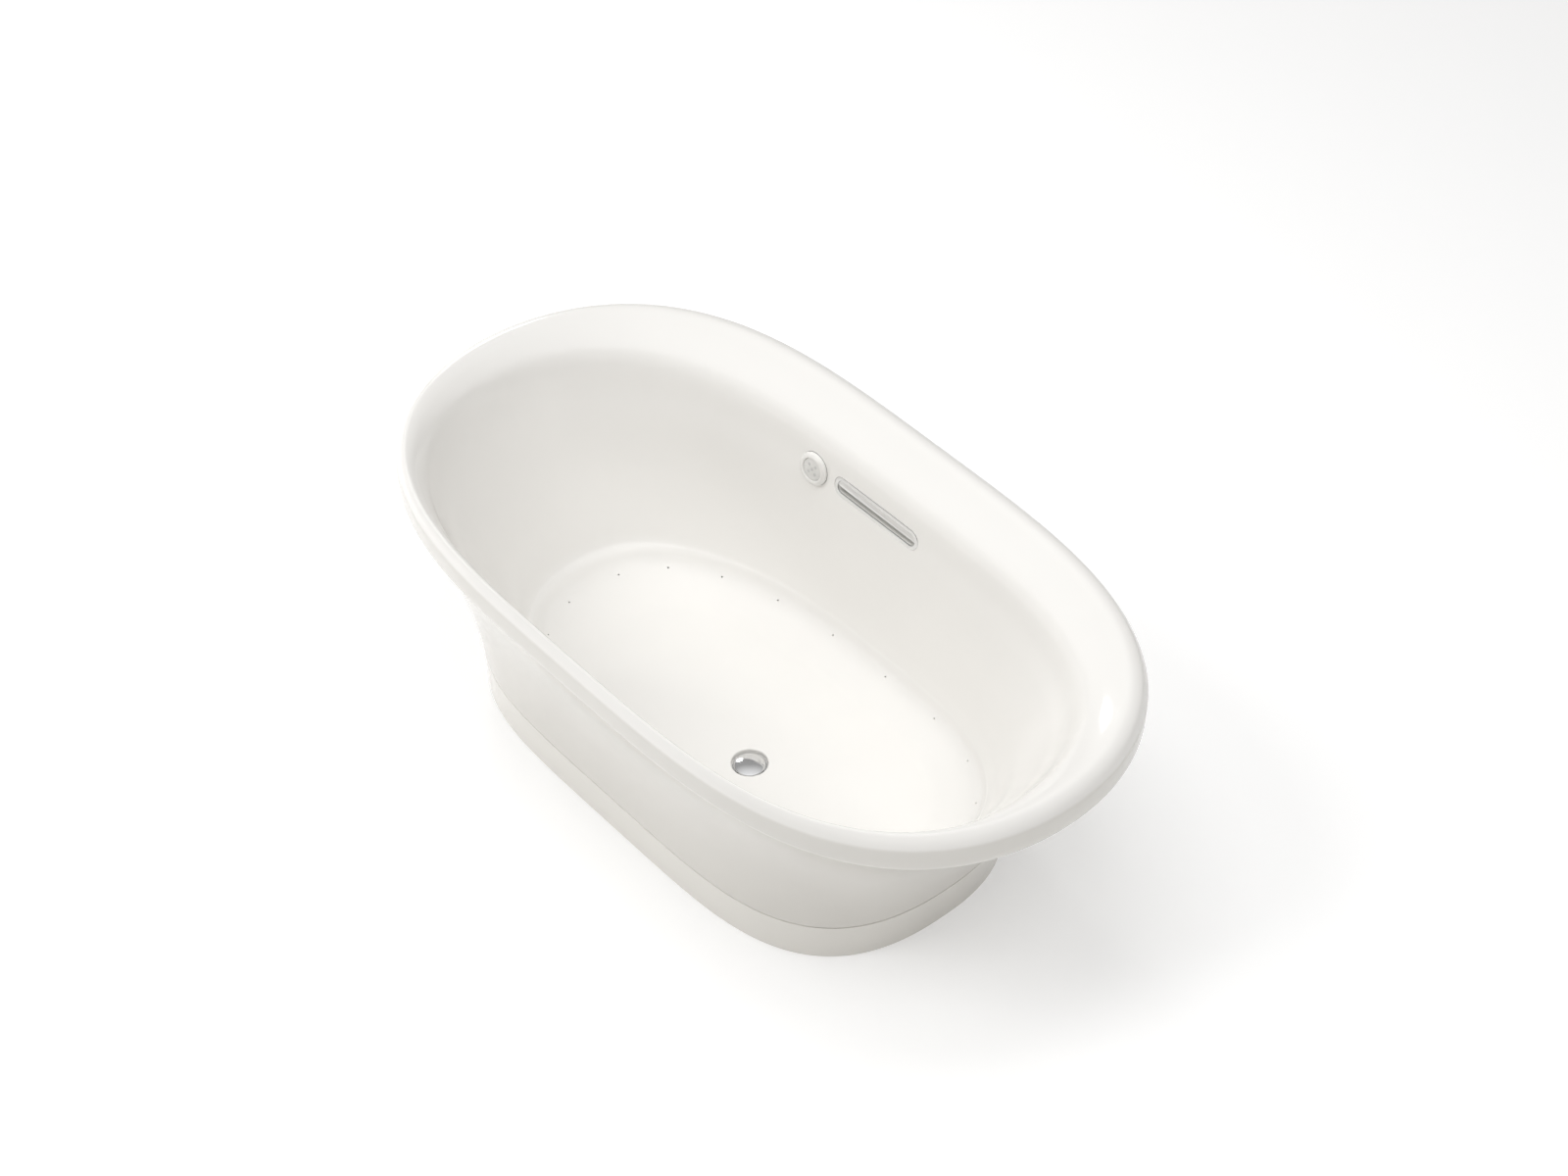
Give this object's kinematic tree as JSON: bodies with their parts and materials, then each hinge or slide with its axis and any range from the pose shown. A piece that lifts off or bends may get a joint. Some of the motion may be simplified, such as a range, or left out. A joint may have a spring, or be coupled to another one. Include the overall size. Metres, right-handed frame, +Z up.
{
  "type": "freestanding bathtub",
  "caption": "Oval freestanding bathtub with a wide deck along one side, a flared shroud on a plinth band, push stopper, slot overflow, round keypad and levelling feet.",
  "frame": {"origin": "on the floor, under the centre of the rim's outline", "axes": "+X toward the foot end, +Y toward the wide deck side with the overflow and keypad, +Z up"},
  "size_m": [1.665, 0.912, 0.578],
  "materials": {
    "acrylic": "gloss",
    "shroud_acrylic": "gloss",
    "seal_rubber": "matte",
    "board_wood": "raw board",
    "frame_steel": "zinc plated",
    "chrome": "polished",
    "black_plastic": "matte",
    "grey_plastic": "matte",
    "keypad_white": "satin",
    "keypad_grey": "satin",
    "key_dark": "satin",
    "circuit_board": "lacquered",
    "heater_film": "film"
  },
  "bodies": {
    "tub": {"basin_shell": "acrylic", "outer_shroud": "shroud_acrylic", "plinth_band": "shroud_acrylic", "rim_seal": "seal_rubber", "base_board": "board_wood", "support_rail_near": "frame_steel", "support_rail_far": "frame_steel", "cross_members": "frame_steel", "weld_nuts": "frame_steel", "foot_locknuts": "frame_steel", "plinth_brackets": "frame_steel", "bracket_screws": "frame_steel", "drain_body": "chrome", "drain_gasket": "seal_rubber", "drain_locknut": "grey_plastic", "waste_tee": "black_plastic", "tail_pipe": "chrome", "tail_nut": "black_plastic", "overflow_trim": "chrome", "overflow_bar": "chrome", "overflow_gasket": "seal_rubber", "overflow_housing": "black_plastic", "overflow_hose": "grey_plastic", "hose_clamps": "frame_steel", "keypad_bezel": "keypad_white", "keypad_face": "keypad_grey", "keypad_board": "circuit_board", "keypad_housing": "black_plastic", "keypad_nut": "black_plastic", "keypad_lead": "black_plastic", "control_tray": "frame_steel", "control_box": "grey_plastic", "control_lid": "grey_plastic", "power_gland": "black_plastic", "backrest_heater": "heater_film", "heater_lead": "black_plastic", "air_channel": "grey_plastic", "air_inlet": "grey_plastic"},
    "stopper": {"drain_cap": "chrome", "stopper_seal": "seal_rubber", "stopper_stem": "frame_steel"},
    "button_power": {"key_power": "key_dark"},
    "button_heat": {"key_heat": "key_dark"},
    "button_air": {"key_air": "key_dark"},
    "button_more": {"key_more": "key_dark"},
    "button_less": {"key_less": "key_dark"},
    "foot_1": {"foot_pad_1": "seal_rubber"},
    "stud_1": {"foot_stud_1": "frame_steel"},
    "foot_2": {"foot_pad_2": "seal_rubber"},
    "stud_2": {"foot_stud_2": "frame_steel"},
    "foot_3": {"foot_pad_3": "seal_rubber"},
    "stud_3": {"foot_stud_3": "frame_steel"},
    "foot_4": {"foot_pad_4": "seal_rubber"},
    "stud_4": {"foot_stud_4": "frame_steel"}
  },
  "joints": [
    {"name": "stopper_lift", "type": "slide", "parent": "tub", "child": "stopper", "axis": [0, 0, 1], "range_m": [0, 0.008]},
    {"name": "press_power", "type": "slide", "parent": "tub", "child": "button_power", "axis": [-0.0519, 0.9896, -0.134], "range_m": [0, 0.0008], "stiffness_N_per_m": 800, "springref_m": -0.0005},
    {"name": "press_heat", "type": "slide", "parent": "tub", "child": "button_heat", "axis": [-0.0519, 0.9896, -0.134], "range_m": [0, 0.0008], "stiffness_N_per_m": 800, "springref_m": -0.0005},
    {"name": "press_air", "type": "slide", "parent": "tub", "child": "button_air", "axis": [-0.0519, 0.9896, -0.134], "range_m": [0, 0.0008], "stiffness_N_per_m": 800, "springref_m": -0.0005},
    {"name": "press_more", "type": "slide", "parent": "tub", "child": "button_more", "axis": [-0.0519, 0.9896, -0.134], "range_m": [0, 0.0008], "stiffness_N_per_m": 800, "springref_m": -0.0005},
    {"name": "press_less", "type": "slide", "parent": "tub", "child": "button_less", "axis": [-0.0519, 0.9896, -0.134], "range_m": [0, 0.0008], "stiffness_N_per_m": 800, "springref_m": -0.0005},
    {"name": "foot_lift_1", "type": "slide", "parent": "tub", "child": "foot_1", "axis": [0, 0, -1], "range_m": [-0.004, 0.012]},
    {"name": "stud_turn_1", "type": "hinge", "parent": "foot_1", "child": "stud_1", "pos_m": [-0.36, -0.17, 0.03], "axis": [0, 0, -1], "range_deg": [-830, 2475]},
    {"name": "foot_lift_2", "type": "slide", "parent": "tub", "child": "foot_2", "axis": [0, 0, -1], "range_m": [-0.004, 0.012]},
    {"name": "stud_turn_2", "type": "hinge", "parent": "foot_2", "child": "stud_2", "pos_m": [-0.36, 0.17, 0.03], "axis": [0, 0, -1], "range_deg": [-830, 2475]},
    {"name": "foot_lift_3", "type": "slide", "parent": "tub", "child": "foot_3", "axis": [0, 0, -1], "range_m": [-0.004, 0.012]},
    {"name": "stud_turn_3", "type": "hinge", "parent": "foot_3", "child": "stud_3", "pos_m": [0.36, -0.17, 0.03], "axis": [0, 0, -1], "range_deg": [-830, 2475]},
    {"name": "foot_lift_4", "type": "slide", "parent": "tub", "child": "foot_4", "axis": [0, 0, -1], "range_m": [-0.004, 0.012]},
    {"name": "stud_turn_4", "type": "hinge", "parent": "foot_4", "child": "stud_4", "pos_m": [0.36, 0.17, 0.03], "axis": [0, 0, -1], "range_deg": [-830, 2475]}
  ],
  "couplings": [
    {"joint": "stud_turn_1", "follows": "foot_lift_1", "rad_per_m": 3590.4},
    {"joint": "stud_turn_2", "follows": "foot_lift_2", "rad_per_m": 3590.4},
    {"joint": "stud_turn_3", "follows": "foot_lift_3", "rad_per_m": 3590.4},
    {"joint": "stud_turn_4", "follows": "foot_lift_4", "rad_per_m": 3590.4}
  ]
}
